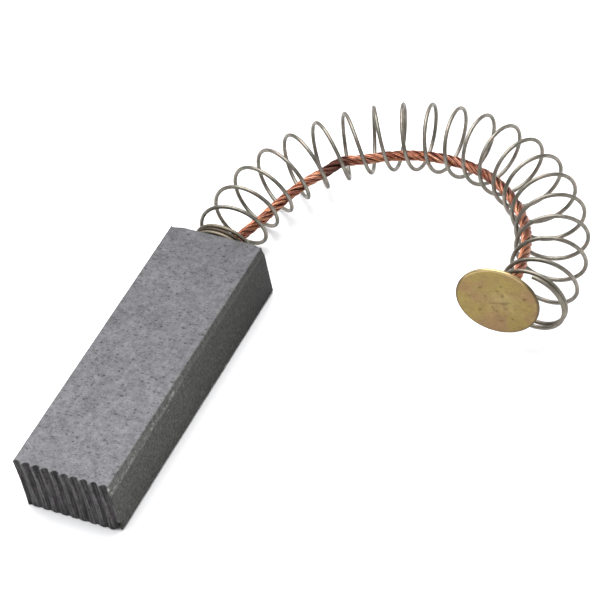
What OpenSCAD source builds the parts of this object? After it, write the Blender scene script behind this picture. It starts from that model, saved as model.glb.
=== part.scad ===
/* [Carbon block] */
// Width of the carbon block, across the grooves
block_w = 8.1; // [8:0.1:10]
// Length of the carbon block, from contact face to rear face
block_l = 25; // [12:0.5:30]
// Thickness of the carbon block
block_h = 5; // [4.8:0.1:6]
// Bevel along the two left edges
edge_bevel = 0.12; // [0.05:0.01:0.3]
// Width of the facet along the worn top right edge
worn_bevel = 0.1; // [0.05:0.01:0.3]
// Height of the facet along the worn top right edge
worn_height = 0.7; // [0.2:0.05:1]
// Radius of the rounded bottom right edge
lower_round = 0.3; // [0.2:0.05:0.8]
// Bevel at the sides of the rear face, with a third of it at the top and bottom
rear_bevel = 0.4; // [0.1:0.05:0.5]

/* [Contact face] */
// Radius of the commutator that the contact face is curved to
commutator_r = 31; // [15:1:60]
// Number of running-in grooves across the contact face
groove_n = 10; // [4:1:10]
// Distance between two neighbouring grooves
groove_pitch = 0.81; // [0.7:0.01:0.82]
// How far the middle of the grooves is off the middle of the block
groove_shift = -0.06; // [-0.06:0.01:0.06]
// Depth of the grooves halfway up the contact face
groove_depth = 0.18; // [0.14:0.01:0.22]
// How much deeper the grooves are at the top, and shallower at the bottom
groove_lean = 0.1; // [0.02:0.01:0.1]
// Radius of the round bottom of the grooves
groove_r = 0.33; // [0.3:0.01:0.34]

/* [Lead anchorage] */
// Diameter of the anchorage hole in the rear face
hole_d = 2.4; // [1.8:0.1:3]
// Depth of the straight part of the anchorage hole
hole_depth = 4.6; // [3:0.1:6]
// Depth of the packed powder below the rear face
powder_recess = 0.1; // [0:0.05:0.3]

/* [Spring] */
// Diameter of the spring wire
wire_d = 0.32; // [0.2:0.02:0.32]
// Radius of the coil at the block, to the middle of the wire
coil_r = 2.54; // [2.5:0.01:2.8]
// How much tighter and lower the closed turns at the block are wound
coil_tuck = 0.22; // [0:0.01:0.3]
// How much wider that radius is at the terminal
coil_growth = 0.14; // [0:0.01:0.2]
// Number of turns in all, with the closed ends
coil_turns = 24.65; // [20:0.05:25]
// Closed turns against the carbon block
closed_block = 2.68; // [2:0.02:3]
// Closed turns at the terminal
closed_cap = 1.2; // [1:0.1:2]
// Angle that the spring is bent through, end to end
bend_angle = 182.5; // [160:0.5:190]
// Angle that the bent spring rises at
rise_angle = 3; // [2.8:0.1:5]

/* [Lead] */
// Diameter of the stranded copper lead
lead_d = 0.85; // [0.6:0.05:0.9]

/* [Terminal] */
// Diameter of the terminal disc
disc_d = 6.35; // [5:0.05:6.6]
// Thickness of the terminal disc
disc_t = 0.25; // [0.2:0.05:0.5]
// Outer diameter of the neck that grips the lead
neck_d = 1.5; // [1.4:0.1:1.6]
// Length of the neck behind the disc
neck_l = 0.6; // [0.3:0.1:0.6]

/* [Hidden] */
$fn = 64;

// the origin is the middle of the block's underside, with the rear face towards +Y
front = -block_l / 2;
rear = block_l / 2;

// ---- rules of the bent spring -------------------------------------------
coil_start = [-0.47, rear + wire_d / 2 + 0.02, max(coil_r + wire_d / 2 + 0.02, block_h / 2)];
closed_pitch_block = wire_d + 0.02;
closed_pitch_cap = wire_d + 0.04;
bend_from = 3.29;
bend_bow = 3.25;
coil_phase = -2.44;
segs = 18;
coil_n = round(coil_turns * segs);

function clamp01(x) = max(0, min(1, x));
function unit(v) = v / norm(v);

// distance between neighbouring turns at turn t
function active_pitch(t) = let (x = (t - 1) / (coil_turns - 1)) 2.29 - 0.8 * x + 0.99 * x * x;
function pitch(t) = let (
        c = t < coil_turns / 2 ? closed_pitch_block : closed_pitch_cap,
        a = clamp01((t - closed_block) / 0.5) * clamp01((coil_turns - closed_cap - t) / 0.5))
    c + (active_pitch(t) - c) * a;
// length of the bent spring along its middle
coil_len = [for (i = 0, s = 0; i <= coil_n; s = s + pitch((i + 0.5) / segs) / segs, i = i + 1) s][coil_n];
bend_to = coil_len - 0.9;

// heading of the centreline in plan, from +Y towards +X
function heading(s) = let (x = clamp01((s - bend_from) / (bend_to - bend_from)))
    bend_angle * x + bend_bow * sin(180 * x);
// slope of the centreline
function rise(s) = rise_angle * clamp01((s - 0.6) / 3);
function ahead(s) = [sin(heading(s)) * cos(rise(s)), cos(heading(s)) * cos(rise(s)), sin(rise(s))];
function outward(s) = [-cos(heading(s)), sin(heading(s)), 0];
function upward(s) = [-sin(rise(s)) * sin(heading(s)), -sin(rise(s)) * cos(heading(s)), cos(rise(s))];

// stations of the coil: [distance along the centreline, point on the centreline]
coil_line = [for (i = 0, s = 0, p = coil_start; i <= coil_n;
        d = pitch((i + 0.5) / segs) / segs, p = p + d * ahead(s + d / 2), s = s + d, i = i + 1) [s, p]];
function coil_angle(i) = 360 * (coil_phase + i / segs);
function coil_radial(i) = let (s = coil_line[i][0]) cos(coil_angle(i)) * outward(s) + sin(coil_angle(i)) * upward(s);
// the closed turns are tight and still rest on the same level, so they sit lower by as much
function tuck(s) = let (k = clamp01((s - 0.7) / 0.9)) coil_tuck * (1 - k * k * (3 - 2 * k));
// radius of the coil at distance s, growing smoothly over the second quarter
function coil_radius(s) = let (x = clamp01((s / coil_len - 0.31) / 0.26))
    coil_r + coil_growth * x * x * (3 - 2 * x) - tuck(s);
coil_points = [for (i = [0:coil_n]) let (s = coil_line[i][0])
    coil_line[i][1] + coil_radius(s) * coil_radial(i) - [0, 0, tuck(s)]];

// point on the centreline at distance s
line_step = 0.5;
line_n = ceil(coil_len / line_step) + 1;
line_points = [for (i = 0, p = coil_start; i <= line_n; p = p + line_step * ahead((i + 0.5) * line_step), i = i + 1) p];
function line_at(s) = let (k = min(line_n - 1, floor(s / line_step)), f = s / line_step - k)
    line_points[k] * (1 - f) + line_points[k + 1] * f;

// ---- route of the lead ----------------------------------------------------
// [distance along the spring, offset to the inside of the bend, offset up]
lead_stations = [
    [1.5, 0.85, 0.15], [3, 1.25, 0], [4.6, 1.6, -0.2], [6.4, 1.78, -0.25],
    [8.4, 1.85, -0.2], [10.4, 1.86, -0.15], [12.4, 1.85, -0.1], [14, 1.68, 0.05],
    [16, 1.84, -0.2], [18, 1.84, -0.3], [20.2, 1.8, -0.35], [22.4, 1.75, -0.4],
    [24.6, 1.7, -0.45], [26.8, 1.67, -0.5], [29, 1.68, -0.55], [31.2, 1.76, -0.55],
    [33.4, 1.84, -0.45], [35.6, 1.9, -0.3], [37.8, 1.93, 0], [40, 1.9, 0.25],
    [42, 1.82, 0.55], [43.7, 1.66, 0.85], [45.3, 1.6, 0.85]
];
lead_reach = coil_len / 46;
// middle of the back of the terminal disc, just past the end of the spring and to the
// inside of the bend, and where its outer face looks
disc_at = coil_line[coil_n][1] + 1.2 * ahead(coil_len) - 1.96 * outward(coil_len) + 0.61 * upward(coil_len);
disc_yaw = heading(coil_len) - 9.1;
disc_tilt = 2.4;
disc_out = [sin(disc_yaw) * cos(disc_tilt), cos(disc_yaw) * cos(disc_tilt), sin(disc_tilt)];
lead_route = concat(
    [[0, rear - 4, block_h / 2], [0, rear - 2, block_h / 2], [0, rear, block_h / 2]],
    [for (k = lead_stations) let (s = k[0] * lead_reach)
        line_at(s) - k[1] * outward(s) + k[2] * upward(s)],
    [disc_at - 0.85 * disc_out, disc_at - 0.65 * disc_out, disc_at]
);

// ---- swept tubes ------------------------------------------------------------
function tube_faces(n, m) = concat(
    [[for (j = [0:m - 1]) j]],
    [for (i = [0:n - 2], j = [0:m - 1]) [i * m + j, (i + 1) * m + j, i * m + (j + 1) % m]],
    [for (i = [0:n - 2], j = [0:m - 1]) [i * m + (j + 1) % m, (i + 1) * m + j, (i + 1) * m + (j + 1) % m]],
    [[for (j = [m - 1:-1:0]) (n - 1) * m + j]]
);
function along(p, i) = unit(p[min(i + 1, len(p) - 1)] - p[max(i - 1, 0)]);

module lead_tube(p, r, m) {
    // the two end rings stand square to the last straight stretch
    rings = [for (i = [0:len(p) - 1]) let (
            t = along(p, i),
            u = unit(cross(t, [0, 0, 1])),
            w = cross(u, t))
        for (j = [0:m - 1]) p[i] + r * (cos(360 * j / m) * u + sin(360 * j / m) * w)];
    polyhedron(points = rings, faces = tube_faces(len(p), m), convexity = 10);
}

module coil_tube(r, m) {
    rings = [for (i = [0:coil_n]) let (
            t = along(coil_points, i),
            u = unit(coil_radial(i) - (coil_radial(i) * t) * t),
            w = cross(u, t))
        for (j = [0:m - 1]) coil_points[i] + r * (cos(360 * j / m) * u + sin(360 * j / m) * w)];
    polyhedron(points = rings, faces = tube_faces(coil_n + 1, m), convexity = 30);
}

// ---- sub-parts ----------------------------------------------------------------
// bevelled bar, drawn across its length: x is the width, y the thickness
module block_section() {
    w = block_w / 2;
    e = edge_bevel;
    r = lower_round;
    polygon(concat(
        [[-w + e, 0]],
        [for (a = [-90:15:0]) [w - r + r * cos(a), r + r * sin(a)]],
        [[w, block_h - worn_height], [w - worn_bevel, block_h],
        [-w + e, block_h], [-w, block_h - e], [-w, e]]
    ));
}

// the bar with its rear edges bevelled, seen from above
module block_plan() {
    w = block_w / 2;
    b = rear_bevel;
    polygon([
        [-w - 1, front - 1], [w + 1, front - 1], [w + 1, rear - b - 1],
        [w - b, rear], [-w + b, rear], [-w - 1, rear - b - 1]
    ]);
}

// the smaller rear bevel along the top and bottom, seen from the side
module block_side() {
    b = rear_bevel / 3;
    polygon([
        [front - 1, -1], [front - 1, block_h + 1], [rear - b - 1, block_h + 1],
        [rear, block_h - b], [rear, b], [rear - b - 1, -1]
    ]);
}

// the turned form that the contact face is ground to: a drum, and a rib for each groove;
// the ribs turn about a slightly higher axis, so the grooves are deeper at the top
module commutator_form() {
    half = (groove_n - 1) * groove_pitch / 2;
    lift = 2 * groove_lean * commutator_r / block_h;
    reach = sqrt(commutator_r * commutator_r + lift * lift) + groove_depth;
    translate([0, front - commutator_r + 0.1, block_h / 2]) {
        rotate([0, 90, 0])
            rotate_extrude($fn = 180) translate([0, -block_w]) square([commutator_r, 2 * block_w]);
        translate([0, 0, lift]) rotate([0, 90, 0])
            rotate_extrude($fn = 180)
                for (i = [0:groove_n - 1])
                    translate([reach - groove_r, i * groove_pitch - half + groove_shift])
                        circle(r = groove_r, $fn = 32);
    }
}

module anchorage_hole(d, depth) {
    // opens at z = 0, runs down to a drilled cone
    translate([0, 0, -depth]) cylinder(d = d, h = depth);
    translate([0, 0, -depth - d * 0.3]) cylinder(d1 = 0, d2 = d, h = d * 0.3);
}

module rear_frame() {
    translate([0, rear, block_h / 2]) rotate([-90, 0, 0]) children();
}

module carbon_block() {
    color([0.30, 0.30, 0.31])
        difference() {
            intersection() {
                translate([0, rear, 0]) rotate([90, 0, 0]) linear_extrude(height = block_l) block_section();
                translate([0, 0, -1]) linear_extrude(height = block_h + 2) block_plan();
                translate([-block_w, 0, 0]) rotate([90, 0, 90]) linear_extrude(height = 2 * block_w) block_side();
            }
            commutator_form();
            rear_frame() {
                anchorage_hole(hole_d, hole_depth);
                translate([0, 0, -0.01]) cylinder(d = hole_d, h = 1);
            }
        }
}

module packed_powder() {
    color([0.48, 0.36, 0.30])
        rear_frame()
            difference() {
                translate([0, 0, -powder_recess]) anchorage_hole(hole_d - 0.02, hole_depth - powder_recess - 0.01);
                translate([0, 0, -4]) cylinder(d = lead_d + 0.04, h = 5);
            }
}

module copper_lead() {
    color([0.80, 0.42, 0.30]) lead_tube(lead_route, lead_d / 2, 8);
}

module spring() {
    color([0.42, 0.40, 0.36]) coil_tube(wire_d / 2, 8);
}

module terminal_cap() {
    color([0.70, 0.58, 0.36])
        translate(disc_at) rotate([disc_tilt - 90, 0, -disc_yaw])
            difference() {
                union() {
                    // stamped disc with a slightly rounded rim
                    rotate_extrude($fn = 96)
                        polygon([
                            [0, 0], [disc_d / 2 - 0.06, 0], [disc_d / 2, 0.06],
                            [disc_d / 2, disc_t - 0.08], [disc_d / 2 - 0.08, disc_t], [0, disc_t]
                        ]);
                    translate([0, 0, -neck_l]) cylinder(d = neck_d, h = neck_l + 0.05);
                }
                translate([0, 0, -neck_l - 1]) cylinder(d = lead_d + 0.04, h = neck_l + 1);
            }
}

carbon_block();
packed_powder();
copper_lead();
spring();
terminal_cap();
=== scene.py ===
import math

import bpy
import numpy as np
from mathutils import Matrix


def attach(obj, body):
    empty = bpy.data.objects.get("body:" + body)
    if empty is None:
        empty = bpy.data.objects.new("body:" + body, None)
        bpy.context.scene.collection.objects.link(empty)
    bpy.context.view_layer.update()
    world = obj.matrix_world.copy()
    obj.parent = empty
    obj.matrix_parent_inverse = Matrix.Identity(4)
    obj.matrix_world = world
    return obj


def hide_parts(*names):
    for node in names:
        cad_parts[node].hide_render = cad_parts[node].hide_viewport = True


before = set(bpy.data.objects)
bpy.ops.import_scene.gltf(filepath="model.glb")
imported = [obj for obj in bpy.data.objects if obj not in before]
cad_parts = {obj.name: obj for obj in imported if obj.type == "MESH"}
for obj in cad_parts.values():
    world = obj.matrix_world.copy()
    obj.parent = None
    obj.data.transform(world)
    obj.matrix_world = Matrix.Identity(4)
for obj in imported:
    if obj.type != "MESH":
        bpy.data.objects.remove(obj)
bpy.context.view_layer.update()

MM = 0.001

# ======================================================================
# camera
# ======================================================================
cam_data = bpy.data.cameras.new("camera")
cam_data.sensor_fit = "HORIZONTAL"
cam_data.sensor_width = 36.0
cam_data.lens = 149.67
cam_data.clip_start = 0.01
cam_data.clip_end = 20.0
camera = bpy.data.objects.new("camera", cam_data)
bpy.context.scene.collection.objects.link(camera)
camera.matrix_world = Matrix((
    (0.88853154, -0.22108441, 0.40203655, 0.084083),
    (0.43164918, 0.69983541, -0.56913037, -0.097649),
    (-0.15553356, 0.67922903, 0.71725674, 0.138539),
    (0.0, 0.0, 0.0, 1.0),
))
bpy.context.scene.camera = camera


# ======================================================================
# numbers shared with the CAD, in millimetres
# ======================================================================
BLOCK_W, BLOCK_L, BLOCK_H = 8.1, 25.0, 5.0
FRONT, REAR = -BLOCK_L / 2, BLOCK_L / 2
COMM_R, GROOVE_N, GROOVE_PITCH, GROOVE_DEPTH, GROOVE_R = 31.0, 10, 0.81, 0.18, 0.33
GROOVE_SHIFT, GROOVE_LEAN = -0.06, 0.1
HOLE_D = 2.4
WIRE_D, COIL_R, COIL_TUCK, COIL_GROWTH, COIL_TURNS = 0.32, 2.54, 0.22, 0.14, 24.65
CLOSED_BLOCK, CLOSED_CAP = 2.68, 1.2
BEND_ANGLE, RISE_ANGLE, BEND_BOW, BEND_FROM = 182.5, 3.0, 3.25, 3.29
COIL_PHASE = -2.44
LEAD_D = 0.85
DISC_D, DISC_T, NECK_D, NECK_L = 6.35, 0.25, 1.5, 0.6


# ======================================================================
# small helpers
# ======================================================================
def unit(v):
    n = np.linalg.norm(v, axis=-1, keepdims=True)
    return v / np.where(n == 0, 1, n)


def clamp01(x):
    return np.clip(x, 0.0, 1.0)


def smooth01(x):
    x = clamp01(x)
    return x * x * (3 - 2 * x)


def hash01(ix, iy, iz, seed):
    h = (ix * 374761393 + iy * 668265263 + iz * 1440662683 + seed * 1274126177) & 0xFFFFFFFF
    h = ((h ^ (h >> 13)) * 1274126177) & 0xFFFFFFFF
    return ((h ^ (h >> 16)) & 0xFFFFFFFF) / 4294967295.0


def noise3(p, seed=0):
    """Value noise from 0 to 1 at points p (n x 3)."""
    i = np.floor(p).astype(np.int64)
    f = p - i
    f = f * f * (3 - 2 * f)
    out = np.zeros(len(p))
    for dx in (0, 1):
        for dy in (0, 1):
            for dz in (0, 1):
                w = ((f[:, 0] if dx else 1 - f[:, 0]) * (f[:, 1] if dy else 1 - f[:, 1])
                     * (f[:, 2] if dz else 1 - f[:, 2]))
                out += w * hash01(i[:, 0] + dx, i[:, 1] + dy, i[:, 2] + dz, seed)
    return out


def fbm(p, seed=0, octaves=3):
    total, amp, out = 0.0, 1.0, np.zeros(len(p))
    for k in range(octaves):
        out += amp * noise3(p * (2.03 ** k) + 17.3 * k, seed + k)
        total += amp
        amp *= 0.5
    return out / total


def make_mesh(name, verts_mm, faces, smooth=True, floats=None):
    """Mesh object from vertices in millimetres and a list of equal- or mixed-length faces."""
    mesh = bpy.data.meshes.new(name)
    verts = np.asarray(verts_mm, dtype=np.float64) * MM
    blocks = [np.asarray(f, dtype=np.int32) for f in faces if len(f)]
    counts = np.concatenate([np.full(len(b), b.shape[1], dtype=np.int32) for b in blocks])
    loops = np.concatenate([b.ravel() for b in blocks])
    starts = np.concatenate([[0], np.cumsum(counts)[:-1]]).astype(np.int32)
    mesh.vertices.add(len(verts))
    mesh.vertices.foreach_set("co", verts.astype(np.float32).ravel())
    mesh.loops.add(len(loops))
    mesh.loops.foreach_set("vertex_index", loops)
    mesh.polygons.add(len(counts))
    mesh.polygons.foreach_set("loop_start", starts)
    mesh.polygons.foreach_set("loop_total", counts)
    mesh.polygons.foreach_set("use_smooth", np.full(len(counts), bool(smooth)))
    mesh.update(calc_edges=True)
    mesh.validate()
    for key, values in (floats or {}).items():
        a = mesh.attributes.new(key, "FLOAT", "POINT")
        a.data.foreach_set("value", np.asarray(values, dtype=np.float32))
    obj = bpy.data.objects.new(name, mesh)
    bpy.context.scene.collection.objects.link(obj)
    return obj


def transport(points):
    """Frames along a polyline that don't twist: tangents, first normals, second normals."""
    p = np.asarray(points)
    t = np.zeros_like(p)
    t[1:-1] = p[2:] - p[:-2]
    t[0], t[-1] = p[1] - p[0], p[-1] - p[-2]
    t = unit(t)
    n = np.zeros_like(p)
    start = np.cross(t[0], [0.0, 0.0, 1.0])
    n[0] = start / np.linalg.norm(start)
    for i in range(1, len(p)):
        v = n[i - 1] - t[i] * float(np.dot(n[i - 1], t[i]))
        n[i] = v / np.linalg.norm(v)
    return t, n, np.cross(t, n)


def tube(points, radius, sides, n, b, caps=True, turn=0.0):
    """Closed tube round a polyline: vertices and quads, with flat fan caps."""
    k = len(points)
    a = 2 * np.pi * np.arange(sides) / sides + turn
    r = np.broadcast_to(np.asarray(radius, dtype=float).reshape(-1, 1), (k, 1)) if np.ndim(radius) < 2 else radius
    ring = (points[:, None, :] + (r * np.cos(a)[None, :])[:, :, None] * n[:, None, :]
            + (r * np.sin(a)[None, :])[:, :, None] * b[:, None, :])
    verts = ring.reshape(-1, 3)
    i = np.arange(k - 1)[:, None] * sides
    j = np.arange(sides)[None, :]
    j2 = (j + 1) % sides
    quads = np.stack([i + j, i + j2, i + sides + j2, i + sides + j], axis=-1).reshape(-1, 4)
    tris = np.zeros((0, 3), dtype=int)
    if caps:
        c0, c1 = len(verts), len(verts) + 1
        verts = np.vstack([verts, points[0], points[-1]])
        j = np.arange(sides)
        first = np.stack([np.full(sides, c0), (j + 1) % sides, j], axis=-1)
        base = (k - 1) * sides
        last = np.stack([np.full(sides, c1), base + j, base + (j + 1) % sides], axis=-1)
        tris = np.vstack([first, last])
    return verts, quads, tris


def spline(points, step, tangent_ends=True):
    """Catmull-Rom curve (centripetal) through points, resampled at even steps."""
    p = np.asarray(points, dtype=float)
    p = np.vstack([2 * p[0] - p[1], p, 2 * p[-1] - p[-2]])
    out = []
    for i in range(1, len(p) - 2):
        p0, p1, p2, p3 = p[i - 1], p[i], p[i + 1], p[i + 2]
        t0 = 0.0
        t1 = t0 + np.linalg.norm(p1 - p0) ** 0.5
        t2 = t1 + np.linalg.norm(p2 - p1) ** 0.5
        t3 = t2 + np.linalg.norm(p3 - p2) ** 0.5
        m = 24
        t = np.linspace(t1, t2, m, endpoint=False)[:, None]
        a1 = (t1 - t) / (t1 - t0) * p0 + (t - t0) / (t1 - t0) * p1
        a2 = (t2 - t) / (t2 - t1) * p1 + (t - t1) / (t2 - t1) * p2
        a3 = (t3 - t) / (t3 - t2) * p2 + (t - t2) / (t3 - t2) * p3
        b1 = (t2 - t) / (t2 - t0) * a1 + (t - t0) / (t2 - t0) * a2
        b2 = (t3 - t) / (t3 - t1) * a2 + (t - t1) / (t3 - t1) * a3
        out.append((t2 - t) / (t2 - t1) * b1 + (t - t1) / (t2 - t1) * b2)
    out.append(p[-2][None, :])
    q = np.vstack(out)
    d = np.concatenate([[0], np.cumsum(np.linalg.norm(np.diff(q, axis=0), axis=1))])
    n = int(round(d[-1] / step))
    s = np.linspace(0, d[-1], n + 1)
    return np.stack([np.interp(s, d, q[:, k]) for k in range(3)], axis=1), s


# ======================================================================
# rules of the bent spring, as in the CAD
# ======================================================================
SEGS = 18
COIL_N = int(round(COIL_TURNS * SEGS))


def pitch(t):
    c = WIRE_D + (0.02 if t < COIL_TURNS / 2 else 0.04)
    a = min(1, max(0, (t - CLOSED_BLOCK) / 0.5)) * min(1, max(0, (COIL_TURNS - CLOSED_CAP - t) / 0.5))
    x = (t - 1) / (COIL_TURNS - 1)
    return c + (2.29 - 0.8 * x + 0.99 * x * x - c) * a


STEPS = np.array([pitch((i + 0.5) / SEGS) / SEGS for i in range(COIL_N)])
COIL_LEN = float(STEPS.sum())
BEND_TO = COIL_LEN - 0.9
COIL_START = np.array([-0.47, REAR + WIRE_D / 2 + 0.02, COIL_R + WIRE_D / 2 + 0.02])


def heading(s):
    x = clamp01((np.asarray(s) - BEND_FROM) / (BEND_TO - BEND_FROM))
    return np.radians(BEND_ANGLE * x + BEND_BOW * np.sin(np.pi * x))


def rise(s):
    return np.radians(RISE_ANGLE * clamp01((np.asarray(s) - 0.6) / 3))


def ahead(s):
    h, r = heading(s), rise(s)
    return np.stack([np.sin(h) * np.cos(r), np.cos(h) * np.cos(r), np.sin(r) + 0 * h], axis=-1)


def outward(s):
    h = heading(s)
    return np.stack([-np.cos(h), np.sin(h), 0 * h], axis=-1)


def upward(s):
    h, r = heading(s), rise(s)
    return np.stack([-np.sin(r) * np.sin(h), -np.sin(r) * np.cos(h), np.cos(r) + 0 * h], axis=-1)


line_s = np.concatenate([[0], np.cumsum(STEPS)])
line_p = np.vstack([COIL_START, COIL_START + np.cumsum(
    STEPS[:, None] * ahead(line_s[:-1] + STEPS / 2), axis=0)])

half_s = np.arange(0, int(math.ceil(COIL_LEN / 0.5)) + 2) * 0.5
half_p = np.vstack([COIL_START, COIL_START + np.cumsum(0.5 * ahead(half_s[:-1] + 0.25), axis=0)])


def line_at(s):
    return np.stack([np.interp(s, half_s, half_p[:, k]) for k in range(3)], axis=-1)


STATIONS = [
    (1.5, 0.85, 0.15), (3, 1.25, 0), (4.6, 1.6, -0.2), (6.4, 1.78, -0.25),
    (8.4, 1.85, -0.2), (10.4, 1.86, -0.15), (12.4, 1.85, -0.1), (14, 1.68, 0.05),
    (16, 1.84, -0.2), (18, 1.84, -0.3), (20.2, 1.8, -0.35), (22.4, 1.75, -0.4),
    (24.6, 1.7, -0.45), (26.8, 1.67, -0.5), (29, 1.68, -0.55), (31.2, 1.76, -0.55),
    (33.4, 1.84, -0.45), (35.6, 1.9, -0.3), (37.8, 1.93, 0), (40, 1.9, 0.25),
    (42, 1.82, 0.55), (43.7, 1.66, 0.85), (45.3, 1.6, 0.85),
]
LEAD_REACH = COIL_LEN / 46
END = line_p[-1]
DISC_AT = END + 1.2 * ahead(COIL_LEN) - 1.96 * outward(COIL_LEN) + 0.61 * upward(COIL_LEN)
DISC_YAW = float(np.degrees(heading(COIL_LEN))) - 9.1
DISC_TILT = 2.4
DISC_OUT = np.array([
    math.sin(math.radians(DISC_YAW)) * math.cos(math.radians(DISC_TILT)),
    math.cos(math.radians(DISC_YAW)) * math.cos(math.radians(DISC_TILT)),
    math.sin(math.radians(DISC_TILT))])
ROUTE = np.vstack([
    [[0, REAR - 4, BLOCK_H / 2], [0, REAR - 2, BLOCK_H / 2], [0, REAR, BLOCK_H / 2]],
    [line_at(k[0] * LEAD_REACH) - k[1] * outward(k[0] * LEAD_REACH) + k[2] * upward(k[0] * LEAD_REACH)
     for k in STATIONS],
    [DISC_AT - 0.85 * DISC_OUT, DISC_AT - 0.65 * DISC_OUT, DISC_AT],
])


# ======================================================================
# materials
# ======================================================================
class Mat:
    """A node material with a Principled shader and a few short ways to add nodes."""

    def __init__(self, name):
        self.m = bpy.data.materials.new(name)
        self.m.use_nodes = True
        self.t = self.m.node_tree
        self.t.nodes.clear()
        self.out = self.t.nodes.new("ShaderNodeOutputMaterial")
        self.bsdf = self.t.nodes.new("ShaderNodeBsdfPrincipled")
        self.t.links.new(self.bsdf.outputs[0], self.out.inputs["Surface"])
        self.coord = self.t.nodes.new("ShaderNodeTexCoord").outputs["Object"]
        self.mm = self.mapping(self.coord, (1000, 1000, 1000))

    def put(self, socket, value):
        if isinstance(value, bpy.types.NodeSocket):
            self.t.links.new(value, socket)
        else:
            socket.default_value = value

    def mapping(self, vec, scale=(1, 1, 1), loc=(0, 0, 0), rot=(0, 0, 0)):
        n = self.t.nodes.new("ShaderNodeMapping")
        self.put(n.inputs["Vector"], vec)
        n.inputs["Scale"].default_value = scale
        n.inputs["Location"].default_value = loc
        n.inputs["Rotation"].default_value = rot
        return n.outputs[0]

    def noise(self, scale, detail=2.0, rough=0.5, vec=None, distort=0.0):
        n = self.t.nodes.new("ShaderNodeTexNoise")
        self.put(n.inputs["Vector"], vec if vec is not None else self.mm)
        n.inputs["Scale"].default_value = scale
        n.inputs["Detail"].default_value = detail
        n.inputs["Roughness"].default_value = rough
        n.inputs["Distortion"].default_value = distort
        return n.outputs[0]

    def noise_color(self, scale, detail=2.0):
        n = self.t.nodes.new("ShaderNodeTexNoise")
        self.put(n.inputs["Vector"], self.mm)
        n.inputs["Scale"].default_value = scale
        n.inputs["Detail"].default_value = detail
        return n.outputs["Color"]

    def cells(self, scale, vec=None, randomness=1.0):
        """Distance to the nearest point, and one random number for each point."""
        n = self.t.nodes.new("ShaderNodeTexVoronoi")
        self.put(n.inputs["Vector"], vec if vec is not None else self.mm)
        n.inputs["Scale"].default_value = scale
        n.inputs["Randomness"].default_value = randomness
        sep = self.t.nodes.new("ShaderNodeSeparateColor")
        self.t.links.new(n.outputs["Color"], sep.inputs[0])
        return n.outputs["Distance"], sep.outputs[0], sep.outputs[1]

    def math(self, op, a, b=0.0, c=0.0, clamp=False):
        n = self.t.nodes.new("ShaderNodeMath")
        n.operation = op
        n.use_clamp = clamp
        self.put(n.inputs[0], a)
        self.put(n.inputs[1], b)
        self.put(n.inputs[2], c)
        return n.outputs[0]

    def remap(self, value, a, b, c=0.0, d=1.0, kind="SMOOTHSTEP"):
        n = self.t.nodes.new("ShaderNodeMapRange")
        n.interpolation_type = kind
        n.clamp = True
        self.put(n.inputs["Value"], value)
        for key, v in (("From Min", a), ("From Max", b), ("To Min", c), ("To Max", d)):
            self.put(n.inputs[key], v)
        return n.outputs[0]

    def mix(self, fac, a, b, blend="MIX"):
        n = self.t.nodes.new("ShaderNodeMix")
        n.data_type = "RGBA"
        n.blend_type = blend
        n.clamp_factor = True
        self.put(n.inputs[0], fac)
        self.put(n.inputs[6], a if isinstance(a, bpy.types.NodeSocket) else (*a, 1.0))
        self.put(n.inputs[7], b if isinstance(b, bpy.types.NodeSocket) else (*b, 1.0))
        return n.outputs[2]

    def scale_color(self, color, factor):
        n = self.t.nodes.new("ShaderNodeVectorMath")
        n.operation = "SCALE"
        self.put(n.inputs[0], color if isinstance(color, bpy.types.NodeSocket) else color)
        self.put(n.inputs["Scale"], factor)
        return n.outputs[0]

    def attr(self, name):
        n = self.t.nodes.new("ShaderNodeAttribute")
        n.attribute_name = name
        return n.outputs["Fac"]

    def bump(self, height, distance, strength=1.0):
        n = self.t.nodes.new("ShaderNodeBump")
        self.put(n.inputs["Height"], height)
        n.inputs["Distance"].default_value = distance
        n.inputs["Strength"].default_value = strength
        self.t.links.new(n.outputs[0], self.bsdf.inputs["Normal"])

    def set(self, **values):
        for key, v in values.items():
            self.put(self.bsdf.inputs[key.replace("_", " ")], v)
        return self


def wobble(m, value, amount):
    """1 + amount * (value - 0.5), for multiplying a colour."""
    return m.math("MULTIPLY_ADD", m.math("SUBTRACT", value, 0.5), amount, 1.0)


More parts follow.
